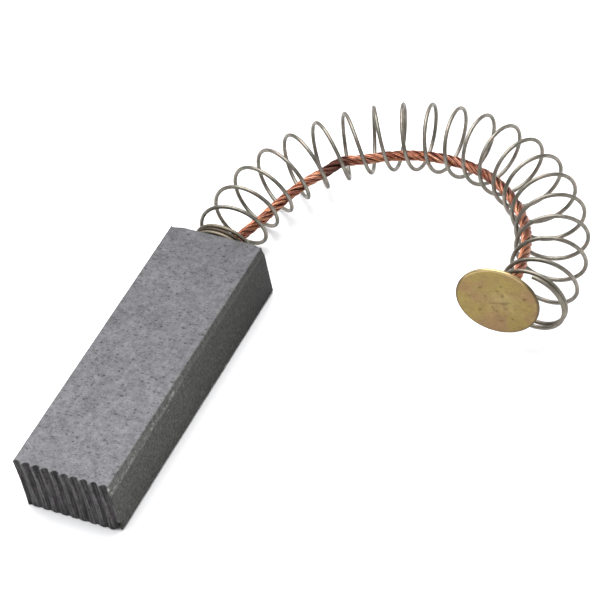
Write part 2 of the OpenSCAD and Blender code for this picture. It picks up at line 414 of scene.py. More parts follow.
# ---- carbon -------------------------------------------------------------
def carbon_material():
    m = Mat("carbon_graphite")
    top, front, worn, ridge_highlight, lip, speck, scuff = (
        m.attr(k) for k in ("top", "front", "worn", "ridge_highlight", "lip", "speck", "scuff"))
    broad = m.noise(0.22, 2.0)
    cloud = m.noise(0.9, 3.0, 0.6)
    blotch = m.noise(2.7, 4.0, 0.74)
    grain = m.noise(5.0, 3.0, 0.65)
    fine = m.noise(13.0, 2.0, 0.6)
    across = m.noise(1.0, 3.0, 0.6, m.mapping(m.mm, (0.8, 6.5, 3.0)))
    scratch = m.noise(1.0, 3.0, 0.65, m.mapping(m.mm, (13.0, 3.0, 0.42)))
    hair = m.noise(1.0, 2.0, 0.6, m.mapping(m.mm, (30.0, 5.0, 0.7), (3.0, 1.0, 2.0)))
    tint = m.noise(1.1, 2.0, 0.5, m.mapping(m.mm, (1.0, 1.0, 1.0), (9.0, 4.0, 1.0)))
    split = m.t.nodes.new("ShaderNodeSeparateXYZ")
    m.put(split.inputs[0], m.mm)
    along = m.remap(split.outputs[1], -12.5, 12.5, 1.0, 0.0, "LINEAR")   # 1 at the contact face
    not_top = m.math("SUBTRACT", 1.0, top)

    # painted light and shade: the top, the sides and the front get lit and shaded copies of one graphite colour, the
    # top lightest and the front darkest; the front's scratches and tint are its own
    shaded_side_col = m.mix(m.remap(grain, 0.33, 0.67), (0.034, 0.034, 0.030), (0.072, 0.072, 0.065))
    # painted shade: the side darkens towards the rear, as the light falls off
    painted_side_falloff = m.math("ADD", m.remap(along, 0.02, 0.55, 0.22, 0.79, "LINEAR"), m.remap(along, 0.55, 1.0, 0.0, 0.16, "LINEAR"))
    shaded_side_col = m.scale_color(shaded_side_col, painted_side_falloff)
    lit_top_col = m.mix(m.remap(cloud, 0.3, 0.7), (0.097, 0.095, 0.102), (0.116, 0.114, 0.121))
    # painted light: the top is lighter towards the contact face and darker towards the rear
    lit_top_col = m.scale_color(lit_top_col, m.remap(along, 0.0, 0.8, 0.83, 1.165, "LINEAR"))
    shaded_front_col = m.mix(m.remap(scratch, 0.40, 0.62), (0.007, 0.007, 0.008), (0.065, 0.063, 0.064))
    shaded_front_col = m.mix(m.math("MULTIPLY", m.remap(tint, 0.5, 0.66), 0.5), shaded_front_col, (0.052, 0.038, 0.047))
    shaded_front_col = m.scale_color(shaded_front_col, wobble(m, hair, 1.5))
    # painted highlight along the crests between the grooves
    shaded_front_col = m.mix(m.math("MULTIPLY", ridge_highlight, m.remap(hair, 0.40, 0.54, 0.06, 0.95)), shaded_front_col, (0.165, 0.160, 0.157))
    # the front's painted shade and the top's painted light laid over the side colour
    col = m.mix(front, shaded_side_col, shaded_front_col)
    col = m.mix(top, col, lit_top_col)
    worn_amount = m.math("MULTIPLY", worn, m.remap(grain, 0.30, 0.62, 0.6, 1.0))
    worn_col = m.scale_color((0.104, 0.103, 0.097), m.math("MULTIPLY_ADD", along, 0.5, 0.5))
    col = m.mix(worn_amount, col, worn_col)
    chips = m.noise(4.2, 3.0, 0.75)
    chipped = m.math("MULTIPLY", lip, m.remap(chips, 0.50, 0.60))
    col = m.mix(chipped, col, (0.225, 0.220, 0.200))

    tone = m.math("MULTIPLY", wobble(m, broad, 0.30), wobble(m, fine, 0.55))
    tone = m.math("MULTIPLY", tone, wobble(m, across, m.math("MULTIPLY", top, 0.55)))
    tone = m.math("MULTIPLY", tone, wobble(m, grain, 0.45))
    tone = m.math("MULTIPLY", tone, wobble(m, blotch, m.math("MULTIPLY_ADD", not_top, 0.35, 1.80)))
    col = m.scale_color(col, tone)

    # open pores, in clumps and drawn out a little across the block
    clump = m.remap(m.noise(0.55, 2.0), 0.36, 0.62, 0.25, 1.0)
    warp = m.mapping(m.mm, (1.0, 1.7, 1.4))
    bent = m.t.nodes.new("ShaderNodeVectorMath")
    bent.operation = "MULTIPLY_ADD"
    m.put(bent.inputs[0], m.noise_color(7.0))
    bent.inputs[1].default_value = (0.22, 0.22, 0.22)
    m.put(bent.inputs[2], warp)
    d1, r1, g1 = m.cells(2.3, bent.outputs[0])
    pit1 = m.remap(m.math("SUBTRACT", d1, m.math("MULTIPLY", r1, 0.24)), -0.02, 0.12, 1.0, 0.0)
    d2, r2, g2 = m.cells(4.4, m.mapping(bent.outputs[0], (1.1, 1.2, 1.15), (3.1, 1.7, 5.3)))
    pit2 = m.remap(m.math("SUBTRACT", d2, m.math("MULTIPLY", r2, 0.30)), -0.02, 0.12, 1.0, 0.0)
    pit2 = m.math("MULTIPLY", pit2, clump)
    # short drag marks across the block, where the grinding wheel pulled grains out
    d4, r4, g4 = m.cells(1.25, m.mapping(m.mm, (0.34, 2.9, 2.2), (1.3, 0.4, 2.6), (0.0, 0.0, 0.06)))
    drag = m.remap(m.math("SUBTRACT", d4, m.math("MULTIPLY", r4, 0.16)), -0.02, 0.07, 1.0, 0.0)
    drag = m.math("MULTIPLY", m.math("MULTIPLY", drag, m.remap(g4, 0.35, 0.5)),
                  m.math("MULTIPLY", m.math("MULTIPLY_ADD", along, -0.45, 1.0), m.remap(grain, 0.38, 0.52, 0.35, 1.0)))
    pits = m.math("MAXIMUM", pit1, m.math("MULTIPLY", pit2, 0.8))
    pits = m.math("MAXIMUM", pits, m.math("MULTIPLY", drag, 0.85))
    pits = m.math("MULTIPLY", pits, m.remap(blotch, 0.34, 0.56, 1.0, 0.45))
    # painted shade: the pores and drag marks are painted near-black, as the shade inside the holes
    col = m.mix(m.math("MULTIPLY", pits, 0.74), col, (0.008, 0.008, 0.010))
    # bright graphite flecks
    d3, r3, g3 = m.cells(2.4, m.mapping(m.mm, (1, 1, 1), (7.7, 2.9, 1.1)))
    fleck = m.remap(m.math("SUBTRACT", d3, m.math("MULTIPLY", r3, 0.14)), -0.02, 0.07, 1.0, 0.0)
    fleck = m.math("MULTIPLY", fleck, m.remap(g3, 0.4, 0.55))
    col = m.mix(m.math("MULTIPLY", fleck, m.math("MULTIPLY_ADD", top, 0.12, 0.28)), col, (0.24, 0.235, 0.23))
    col = m.mix(m.math("MULTIPLY", speck, m.remap(grain, 0.3, 0.5, 0.6, 1.0)), col, (0.52, 0.52, 0.48))

    # torn grains on the scuffed part of the side, pale and dark
    d5, r5, g5 = m.cells(3.4, m.mapping(bent.outputs[0], (1.2, 0.8, 1.0), (2.2, 6.1, 3.4)))
    torn = m.remap(m.math("SUBTRACT", d5, m.math("MULTIPLY", r5, 0.30)), 0.0, 0.16, 1.0, 0.0)
    col = m.mix(m.math("MULTIPLY", m.math("MULTIPLY", torn, scuff), m.remap(g5, 0.55, 0.65)), col, (0.160, 0.164, 0.138))
    col = m.mix(m.math("MULTIPLY", m.math("MULTIPLY", torn, scuff), m.remap(g5, 0.50, 0.40, 0.0, 0.9)), col, (0.012, 0.013, 0.011))

    rough = m.math("MULTIPLY_ADD", grain, 0.18, m.math("MULTIPLY_ADD", top, -0.05, 0.50))
    m.set(Base_Color=col, Roughness=rough)
    m.bsdf.inputs["Specular IOR Level"].default_value = 0.17
    height = m.math("ADD", m.math("MULTIPLY", grain, 0.5), m.math("MULTIPLY", fine, 0.35))
    height = m.math("ADD", height, m.math("MULTIPLY", across, m.math("MULTIPLY", top, 0.6)))
    height = m.math("ADD", height, m.math("MULTIPLY", scratch, m.math("MULTIPLY", front, 1.4)))
    height = m.math("ADD", height, m.math("MULTIPLY", blotch, m.math("MULTIPLY", not_top, 0.9)))
    height = m.math("SUBTRACT", height, m.math("MULTIPLY", pits, 1.1))
    m.bump(height, 0.00004, 0.8)
    return m.m


def powder_material():
    m = Mat("copper_graphite_powder")
    d, r, g = m.cells(9.0)
    grain = m.noise(10.0, 3.0, 0.7)
    col = m.mix(m.remap(grain, 0.35, 0.65), (0.028, 0.022, 0.019), (0.085, 0.055, 0.042))
    col = m.mix(m.math("MULTIPLY", m.remap(r, 0.72, 0.85), m.remap(d, 0.25, 0.45, 1.0, 0.0)), col, (0.42, 0.19, 0.10))
    m.set(Base_Color=col, Roughness=m.math("MULTIPLY_ADD", grain, 0.3, 0.5), Metallic=m.remap(r, 0.72, 0.85, 0.1, 0.8))
    m.bump(m.math("ADD", grain, m.math("MULTIPLY", d, -0.8)), 0.00006, 0.9)
    return m.m


def spring_material():
    m = Mat("spring_steel")
    cloud = m.noise(0.9, 3.0, 0.6)
    hue = m.noise(1.6, 2.0, 0.5, m.mapping(m.mm, (1, 1, 1), (4.0, 8.0, 2.0)))
    speck = m.noise(9.0, 3.0, 0.65)
    draw = m.noise(1.0, 2.0, 0.5, m.mapping(m.mm, (3.0, 3.0, 3.0)))
    warm, cut, underside_shade, seam_shade = (m.attr(k) for k in ("warm", "cut", "underside_shade", "seam_shade"))
    col = m.mix(m.remap(cloud, 0.32, 0.68), (0.150, 0.144, 0.118), (0.262, 0.238, 0.205))
    col = m.mix(m.remap(hue, 0.50, 0.72, 0.0, 0.55), col, (0.230, 0.172, 0.140))
    col = m.mix(m.remap(hue, 0.46, 0.28, 0.0, 0.45), col, (0.150, 0.158, 0.125))
    col = m.mix(m.math("MULTIPLY", warm, 0.8), col, (0.185, 0.158, 0.118))
    col = m.scale_color(col, m.math("MULTIPLY", wobble(m, speck, 0.7), wobble(m, draw, 0.4)))
    # painted shade on the wire's downward side
    col = m.scale_color(col, m.math("MULTIPLY_ADD", underside_shade, -0.50, 1.0))
    d, r, g = m.cells(3.1)
    rust = m.math("MULTIPLY", m.remap(r, 0.78, 0.9), m.remap(d, 0.2, 0.5, 1.0, 0.0))
    col = m.mix(m.math("MULTIPLY", rust, 0.4), col, (0.16, 0.10, 0.07))
    # painted shade: dark brown along the seams between the closed turns and over the middle closed turn
    col = m.mix(m.math("MULTIPLY", seam_shade, 0.9), col, (0.030, 0.018, 0.014))
    col = m.mix(cut, col, (0.80, 0.80, 0.81))
    rough = m.math("MULTIPLY_ADD", speck, 0.25, m.math("MULTIPLY_ADD", warm, 0.12, 0.34))
    m.set(Base_Color=col, Roughness=rough)
    m.bsdf.inputs["Metallic"].default_value = 1.0
    m.bump(m.math("ADD", m.math("MULTIPLY", speck, 0.6), draw), 0.000012, 0.5)
    return m.m


def lead_material():
    m = Mat("stranded_copper")
    strand, dark, bright, deep = m.attr("strand"), m.attr("tarnish_and_shade"), m.attr("bright"), m.attr("deep")
    cloud = m.noise(1.3, 3.0, 0.6)
    patch = m.noise(2.8, 3.0, 0.65)
    speck = m.noise(14.0, 2.0, 0.6)
    col = m.mix(m.remap(cloud, 0.3, 0.7), (0.33, 0.112, 0.064), (0.49, 0.215, 0.150))
    col = m.mix(m.remap(strand, 0.60, 1.0, 0.0, 0.85, "LINEAR"), col, (0.72, 0.40, 0.26))
    col = m.mix(m.remap(strand, 0.42, 0.0, 0.0, 0.75, "LINEAR"), col, (0.155, 0.045, 0.032))
    col = m.mix(m.remap(patch, 0.54, 0.70, 0.0, 0.6), col, (0.62, 0.29, 0.11))
    col = m.mix(m.remap(patch, 0.44, 0.28, 0.0, 0.6), col, (0.20, 0.080, 0.066))
    col = m.scale_color(col, 0.93)
    # tarnish, with painted shade on the root and the core
    col = m.mix(m.math("MULTIPLY", dark, 0.84), col, (0.100, 0.046, 0.038))
    col = m.mix(m.math("MULTIPLY", bright, 0.6), col, (0.80, 0.38, 0.20))
    # painted shade: strands deep in the bundle are darkened
    col = m.scale_color(col, m.math("MULTIPLY", wobble(m, speck, 0.7), m.math("MULTIPLY_ADD", deep, -0.80, 1.0)))
    m.set(Base_Color=col, Roughness=m.math("MULTIPLY_ADD", speck, 0.22, m.math("MULTIPLY_ADD", dark, 0.2, 0.24)))
    m.bsdf.inputs["Metallic"].default_value = 1.0
    m.bump(speck, 0.00001, 0.4)
    return m.m


def brass_material():
    m = Mat("stamped_brass")
    rim, mark, centre = m.attr("rim"), m.attr("mark"), m.attr("centre")
    cloud = m.noise(0.55, 3.0, 0.55, distort=0.4)
    patch = m.noise(1.7, 3.0, 0.6)
    small = m.noise(4.5, 4.0, 0.7)
    fine = m.noise(12.0, 3.0, 0.6)
    drawn = m.noise(1.0, 2.0, 0.5, m.mapping(m.mm, (1.5, 1.5, 14.0), rot=(0.0, 0.5, 0.0)))
    col = m.mix(m.remap(cloud, 0.36, 0.64), (0.227, 0.169, 0.058), (0.216, 0.140, 0.067))
    col = m.mix(m.remap(patch, 0.52, 0.75, 0.0, 0.6), col, (0.177, 0.110, 0.059))
    col = m.mix(m.remap(patch, 0.42, 0.25, 0.0, 0.5), col, (0.264, 0.206, 0.084))
    worn = m.math("MULTIPLY", centre, m.remap(patch, 0.30, 0.62, 1.0, 0.45))
    col = m.mix(m.math("MULTIPLY", worn, 0.75), col, (0.275, 0.217, 0.090))
    blot = m.math("MULTIPLY", mark, m.remap(small, 0.36, 0.56, 0.45, 1.0))
    col = m.mix(m.math("MULTIPLY", blot, 0.95), col, (0.061, 0.043, 0.016))
    # painted highlight on the rim
    col = m.mix(m.math("MULTIPLY", rim, 0.7), col, (0.571, 0.430, 0.218))
    # painted shade round the rim's other side
    edge = m.math("MULTIPLY", m.attr("edge"), m.remap(small, 0.30, 0.60, 0.65, 1.0))
    col = m.mix(m.math("MULTIPLY", edge, 0.85), col, (0.065, 0.053, 0.033))
    col = m.scale_color(col, m.math("MULTIPLY", wobble(m, fine, 0.45), wobble(m, drawn, 0.16)))
    col = m.scale_color(col, wobble(m, small, 0.65))
    m.set(Base_Color=col, Roughness=m.math("MULTIPLY_ADD", fine, 0.18, m.math("MULTIPLY_ADD", patch, 0.14, 0.26)))
    m.bsdf.inputs["Metallic"].default_value = 1.0
    m.bump(m.math("ADD", m.math("MULTIPLY", fine, 0.5), m.math("ADD", patch, m.math("MULTIPLY", drawn, 0.5))), 0.00002, 0.45)
    return m.m


def floor_material():
    m = bpy.data.materials.new("studio_floor")
    m.use_nodes = True
    b = m.node_tree.nodes["Principled BSDF"]
    b.inputs["Base Color"].default_value = (0.86, 0.86, 0.865, 1)
    b.inputs["Roughness"].default_value = 0.9
    b.inputs["Specular IOR Level"].default_value = 0.1
    return m


# ======================================================================
# the lead
# ======================================================================
def build_lead():
    # the last two CAD points bring the tube square to the disc: the smooth line needs one
    pts = np.vstack([ROUTE[1:-3], ROUTE[-2:]])
    line, s = spline(pts, 0.125)
    keep = line[:, 1] > -99
    t, n, b = transport(line)
    total = s[-1]
    free0 = 2.0                                   # length inside the block
    x = s - free0
    verts, quads, tris, strand, tarn_and_shade, bright, deep = [], [], [], [], [], [], []
    base = 0

    # how far the strands stand off: a little loose in the kink and before the disc
    loose = 1.0 + 0.10 * np.exp(-((x - 12.4) / 1.1) ** 2) + 0.03 * smooth01((x - 39.5) / 1.5)
    # tarnish on the kink and two patches further on; near the block the root is painted dark as shade inside the closed
    # turns
    tarnish_and_shade_at = (smooth01((x - 11.1) / 0.3) * smooth01((13.7 - x) / 0.3) + 0.55 * np.exp(-((x - 26.3) / 0.9) ** 2)
               + 0.35 * np.exp(-((x - 33.4) / 0.7) ** 2) + 0.95 * smooth01((1.3 - x) / 0.6))
    bright_at = 0.9 * smooth01((x - 39.3) / 1.2) + 0.4 * np.exp(-((x - 36.6) / 1.2) ** 2)
    lay1, lay2 = 4.35, 5.2
    count = 6
    for k in range(count):
        wander = 0.10 * (fbm(np.stack([s * 0.35, np.full_like(s, 3.7 * k), 0 * s], axis=1), 40 + k, 2) - 0.5)
        a = 2 * np.pi * (k / count + s / lay1) + wander * 6
        r1 = 0.280 * loose * (1 + 0.05 * (noise3(np.stack([s * 0.8, np.full_like(s, 9.1 * k), 0 * s], axis=1), 60 + k) - 0.5))
        c = line + (r1 * np.cos(a))[:, None] * n + (r1 * np.sin(a))[:, None] * b
        tk = unit(np.gradient(c, axis=0))
        rad = np.cos(a)[:, None] * n + np.sin(a)[:, None] * b
        nk = unit(rad - tk * np.sum(rad * tk, axis=1, keepdims=True))
        bk = np.cross(tk, nk)
        for j in range(6):
            seed = 7 * k + j
            q = 2 * np.pi * (j / 6 - s / lay2) + 0.25 * (noise3(np.stack([s * 0.9, np.full_like(s, 5.3 * seed), 0 * s], axis=1), 90) - 0.5) * 2
            r2 = 0.094 * (1 + 0.22 * (noise3(np.stack([s * 1.1, np.full_like(s, 2.9 * seed), 0 * s + 4], axis=1), 91) - 0.5))
            w = c + (r2 * np.cos(q))[:, None] * nk + (r2 * np.sin(q))[:, None] * bk
            v, f4, f3 = tube(w, 0.0505, 5, nk, bk, turn=0.3 * seed)
            verts.append(v)
            quads.append(f4 + base)
            tris.append(f3 + base)
            base += len(v)
            # painted shade: how deep each strand lies in the bundle, for darkening it
            off = np.linalg.norm(w - line, axis=1)
            low = np.clip((0.345 - off) / 0.11, 0, 1)
            deep.append(np.concatenate([np.repeat(low, 5), [low[0], low[-1]]]))
            h = float(hash01(np.array([seed]), np.array([3]), np.array([8]), 5)[0])
            strand.append(np.full(len(v), h))
            tarn_and_shade.append(np.concatenate([np.repeat(tarnish_and_shade_at, 5), [tarnish_and_shade_at[0], tarnish_and_shade_at[-1]]]))
            bright.append(np.concatenate([np.repeat(bright_at, 5), [bright_at[0], bright_at[-1]]]))
    # the core tube is painted dark all through, as shade in the middle of the bundle
    v, f4, f3 = tube(line, 0.24, 8, n, b)
    verts.append(v)
    quads.append(f4 + base)
    tris.append(f3 + base)
    strand.append(np.full(len(v), 0.0))
    deep.append(np.full(len(v), 1.0))
    tarn_and_shade.append(np.full(len(v), 1.0))
    bright.append(np.full(len(v), 0.0))
    obj = make_mesh("lead_strands", np.vstack(verts), [np.vstack(quads), np.vstack(tris)], True, {
        "strand": np.concatenate(strand), "tarnish_and_shade": np.concatenate(tarn_and_shade), "bright": np.concatenate(bright),
        "deep": np.concatenate(deep)})
    obj.data.materials.append(lead_material())
    return obj


lead = build_lead()
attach(lead, "root")
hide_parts("copper_lead")


# ======================================================================
# carbon block
# ======================================================================
def edge_spaced(length, near, step):
    """Positions from 0 to length: the given ones near both ends, even between."""
    near = [v for v in near if v < length / 2]
    inner = length - 2 * near[-1]
    n = max(1, int(round(inner / step)))
    mid = near[-1] + inner * np.arange(1, n) / n
    return np.concatenate([near, mid, [length - v for v in near[::-1]]])


def groove_profile(x, z):
    half = (GROOVE_N - 1) * GROOVE_PITCH / 2 - GROOVE_SHIFT
    k = np.clip(np.round((x + half) / GROOVE_PITCH), 0, GROOVE_N - 1)
    centre = k * GROOVE_PITCH - half
    # no two grooves wore quite alike
    var = hash01(k.astype(np.int64), (k * 0).astype(np.int64), (k * 0).astype(np.int64), 12)
    dx = x - centre - 0.03 * (var - 0.5)
    r = GROOVE_R
    deep = GROOVE_DEPTH + GROOVE_LEAN * (z - BLOCK_H / 2) / (BLOCK_H / 2)
    d = np.sqrt(np.maximum(0, r * r - dx * dx)) - (r - deep)
    return np.maximum(0, d) * (0.88 + 0.12 * var), dx


def build_block():
    near = [0, 0.02, 0.045, 0.075, 0.11, 0.15, 0.2, 0.26, 0.33, 0.41, 0.5]
    X = edge_spaced(BLOCK_W, near, 0.05) - BLOCK_W / 2
    Y = edge_spaced(BLOCK_L, near + [0.6, 0.72, 0.85, 1.0], 0.2) + FRONT
    Z = edge_spaced(BLOCK_H, near, 0.11)
    ni, nj, nk = len(X), len(Y), len(Z)
    ids = -np.ones((ni, nj, nk), dtype=np.int64)
    shell = np.zeros((ni, nj, nk), dtype=bool)
    shell[0], shell[-1] = True, True
    shell[:, 0], shell[:, -1] = True, True
    shell[:, :, 0], shell[:, :, -1] = True, True
    ids[shell] = np.arange(shell.sum())
    I, J, K = np.nonzero(shell)
    p = np.stack([X[I], Y[J], Z[K]], axis=1)

    def grid(a, flip):
        q = np.stack([a[:-1, :-1], a[1:, :-1], a[1:, 1:], a[:-1, 1:]], axis=-1).reshape(-1, 4)
        return q[:, ::-1] if flip else q

    quads = np.vstack([
        grid(ids[:, :, 0], True), grid(ids[:, :, -1], False),
        grid(ids[:, 0, :], False), grid(ids[:, -1, :], True),
        grid(ids[0, :, :], True), grid(ids[-1, :, :], False)])

    # distance of each point to the three pairs of faces
    h = np.array([BLOCK_W, BLOCK_L, BLOCK_H]) / 2
    c = np.array([0, 0, BLOCK_H / 2])
    q = p - c
    gap = h - np.abs(q)
    right, up, back = q[:, 0] > 0, q[:, 2] > 0, q[:, 1] > 0
    along = (p[:, 1] - FRONT) / BLOCK_L
    chip = fbm(p * 1.6, 5, 3)
    chip2 = fbm(p * np.array([5.0, 5.0, 5.0]), 9, 2)
    r_long = np.where(right & up, 0.10, np.where(right, 0.30, 0.09)) * (0.7 + 0.6 * chip)
    low = smooth01((1.6 - p[:, 2]) / 1.4)
    far = smooth01((p[:, 0] - 2.9) / 0.9)
    high = smooth01((p[:, 2] - 4.0) / 1.0)
    near_left = smooth01((-p[:, 0] - 2.9) / 0.9)
    r_vert = np.where(right, np.where(back, 0.12 + 0.34 * high, 0.18 + 0.80 * low), np.where(back, 0.24 + 0.14 * high, 0.10))
    r_cross = np.where(back, np.where(up, 0.03 + 0.28 * far + 0.24 * near_left, 0.12),
                       np.where(up, 0.05 + 0.08 * far, 0.05 + 0.42 * far * far)) * (0.7 + 0.6 * chip)
    e = 0.03
    w_long = 1 / (gap[:, 0] + gap[:, 2] + e) ** 4
    w_vert = 1 / (gap[:, 0] + gap[:, 1] + e) ** 4
    w_cross = 1 / (gap[:, 1] + gap[:, 2] + e) ** 4
    r = (r_long * w_long + r_vert * w_vert + r_cross * w_cross) / (w_long + w_vert + w_cross)
    r = r * (0.9 + 0.2 * chip2)
    inner = np.clip(q, -(h - r[:, None]), h - r[:, None])
    d = q - inner
    power = np.where(right, 1.9, 1.6)
    norm = np.sum(np.abs(d) ** power[:, None], axis=1) ** (1 / power)
    moved = inner + d * (r / np.where(norm == 0, 1, norm))[:, None]
    v = moved + c

    on_top = gap[:, 2] < 1e-9
    on_top &= up
    on_front = (gap[:, 1] < 1e-9) & ~back
    on_rear = (gap[:, 1] < 1e-9) & back

    # the long facet along the worn top right edge
    tall = 0.45 + 0.42 * np.exp(-along / 0.35)
    lean = 0.10 * smooth01((v[:, 2] - (BLOCK_H - tall)) / tall * 0.55) * 1.75
    v[:, 0] -= np.minimum(lean, 0.10 + 0.05 * chip) * smooth01((v[:, 0] - BLOCK_W / 2 + 1.2) / 1.2)

    # commutator curve and grooves, fading out behind the face
    curve = (-COMM_R + 0.1) + np.sqrt(COMM_R ** 2 - (v[:, 2] - BLOCK_H / 2) ** 2)
    groove, dx = groove_profile(v[:, 0], v[:, 2])
    scar = 0.035 * (fbm(np.stack([v[:, 0] * 7, v[:, 2] * 0.5, 0 * v[:, 0]], axis=1), 21, 3) - 0.5)
    scar += 0.02 * (noise3(np.stack([v[:, 0] * 22, v[:, 2] * 0.8, 0 * v[:, 0]], axis=1), 23) - 0.5)
    push = np.maximum(0, curve) + groove * (0.94 + 0.12 * chip) + np.maximum(0, scar + 0.012)
    fade = clamp01(1 - (v[:, 1] - FRONT) / 1.3)
    v[:, 1] += push * fade

    # faces aren't quite flat
    swell = 0.022 * (fbm(p * np.array([0.5, 0.35, 0.5]), 31, 2) - 0.75)
    swell += 0.010 * (fbm(p * np.array([1.5, 3.0, 2.0]), 33, 2) - 0.7)
    side = np.sign(q) * (gap < 1e-9)
    side[:, 1] = 0
    v += side * swell[:, None]

    # the anchorage hole in the rear face
    z = p[:, 2] - BLOCK_H / 2
    rho = np.hypot(p[:, 0], z)
    hr = HOLE_D / 2
    ring = on_rear & (np.abs(rho - hr) < 0.058)
    inside = on_rear & (rho <= hr - 0.058)
    scale = np.where(ring, hr / np.where(rho == 0, 1, rho), 1.0)
    v[ring, 0] = p[ring, 0] * scale[ring]
    v[ring, 2] = BLOCK_H / 2 + z[ring] * scale[ring]
    v[inside, 1] -= 5.3

    depth = BLOCK_H - v[:, 2]
    on_right = (gap[:, 0] < 1e-9) & right
    line_low = tall + 0.05
    worn_band = on_right * smooth01((line_low + 0.16 - depth) / 0.14) * (0.70 + 0.30 * np.exp(-along / 0.45))
    worn_band = np.maximum(worn_band, 0.75 * (right & up) * clamp01(1.4 - (gap[:, 0] + gap[:, 2]) / 0.10))
    stray = 0.30 * (fbm(np.stack([p[:, 1] * 1.1, 0 * p[:, 1], 0 * p[:, 1]], axis=1), 81, 2) - 0.5)
    lip = on_right * np.exp(-((depth - line_low + 0.10 + stray) / 0.20) ** 2) * smooth01((0.50 - along) / 0.22)
    # two pale grains knocked loose on that edge
    speck = on_right * np.exp(-(((v[:, 1] - FRONT - 0.10) / 0.11) ** 2 + ((depth - 0.22) / 0.13) ** 2))
    speck = np.maximum(speck, 0.55 * on_right * np.exp(-(((v[:, 1] + 2.7) / 0.16) ** 2 + ((depth - 0.45) / 0.12) ** 2)))
    scuff = on_right * np.exp(-((v[:, 1] + 2.6) / 3.6) ** 2) * np.exp(-((depth - 1.1) / 0.95) ** 2)
    scuff = np.maximum(scuff, 0.30 * on_right) * (0.35 + 1.1 * fbm(p * 0.9, 85, 2))
    # painted highlight: the crests between the grooves catch the light along both their sides
    half_gap = GROOVE_PITCH / 2 - np.abs(dx)
    deep = GROOVE_DEPTH + GROOVE_LEAN * (v[:, 2] - BLOCK_H / 2) / (BLOCK_H / 2)
    crest = GROOVE_PITCH / 2 - np.sqrt(GROOVE_R ** 2 - (GROOVE_R - deep) ** 2)
    uneven = fbm(np.stack([v[:, 0] * 1.3, v[:, 2] * 0.8, 0 * v[:, 0]], axis=1), 27, 2)
    ridge_highlight_line = np.exp(-((half_gap - 0.8 * crest) / 0.055) ** 2) * (0.25 + 0.9 * uneven)
    # the crests' tips by the top edge take the top's colour, with its painted light
    tip = clamp01(1.3 - half_gap / np.maximum(crest, 0.05)) * np.exp(-(depth / 0.16) ** 2)
    edges = clamp01(1.3 - np.minimum.reduce([gap[:, 0] + gap[:, 2], gap[:, 0] + gap[:, 1], gap[:, 1] + gap[:, 2]]) / 0.13)
    front_attr = on_front * 1.0
    # the top attribute marks where the top's painted light goes: the top, fading in over its rounded edges
    nz = clamp01((moved[:, 2] - h[2] + 0.05) / 0.05)
    top_attr = np.where(on_top, nz, np.where(on_front, 0.85 * tip, 0.0))
    floats = {
        "top": top_attr,
        "front": front_attr,
        "worn": clamp01(np.maximum(worn_band, 0.30 * edges * (0.4 + chip2))),
        "lip": clamp01(lip),
        "ridge_highlight": clamp01(ridge_highlight_line * on_front),
        "speck": clamp01(speck),
        "scuff": clamp01(scuff),
    }
    obj = make_mesh("carbon_body", v, [quads], True, floats)
    obj.data.materials.append(carbon_material())
    return obj


block = build_block()
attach(block, "root")
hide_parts("carbon_block")


# ======================================================================
# tamped powder round the lead's root
# ======================================================================
def build_powder():
    segs, radii = 72, np.array([0.0, 0.12, 0.24, 0.36, 0.45, 0.54, 0.63, 0.72, 0.81, 0.9, 0.98, 1.05, 1.11, 1.155, 1.185])
    a = 2 * np.pi * np.arange(segs) / segs
    rings = []
    for r in radii[1:]:
        x, z = r * np.cos(a), r * np.sin(a)
        lumps = fbm(np.stack([x * 5, z * 5, 0 * x], axis=1), 51, 3) - 0.5
        meniscus = 0.05 * np.exp(-((r - 0.45) / 0.12) ** 2) - 0.10 * smooth01((r - 0.98) / 0.2)
        rings.append(np.stack([x, REAR - 0.12 + 0.10 * lumps + meniscus, BLOCK_H / 2 + z], axis=1))
    rings.append(np.stack([1.185 * np.cos(a), np.full(segs, REAR - 0.55), BLOCK_H / 2 + 1.185 * np.sin(a)], axis=1))
    v = np.vstack(rings + [[[0, REAR - 0.12, BLOCK_H / 2]], [[0, REAR - 0.55, BLOCK_H / 2]]])
    n = len(rings)
    j = np.arange(segs)
    quads = np.vstack([np.stack([i * segs + j, (i + 1) * segs + j, (i + 1) * segs + (j + 1) % segs,
                                 i * segs + (j + 1) % segs], axis=-1) for i in range(n - 1)])
    top = np.stack([np.full(segs, n * segs), j, (j + 1) % segs], axis=-1)
    low = np.stack([np.full(segs, n * segs + 1), (n - 1) * segs + (j + 1) % segs, (n - 1) * segs + j], axis=-1)
    obj = make_mesh("powder_plug", v, [quads[:, ::-1], np.vstack([top, low])[:, ::-1]], True)
    obj.data.materials.append(powder_material())
    return obj


powder = build_powder()
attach(powder, "root")
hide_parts("packed_powder")


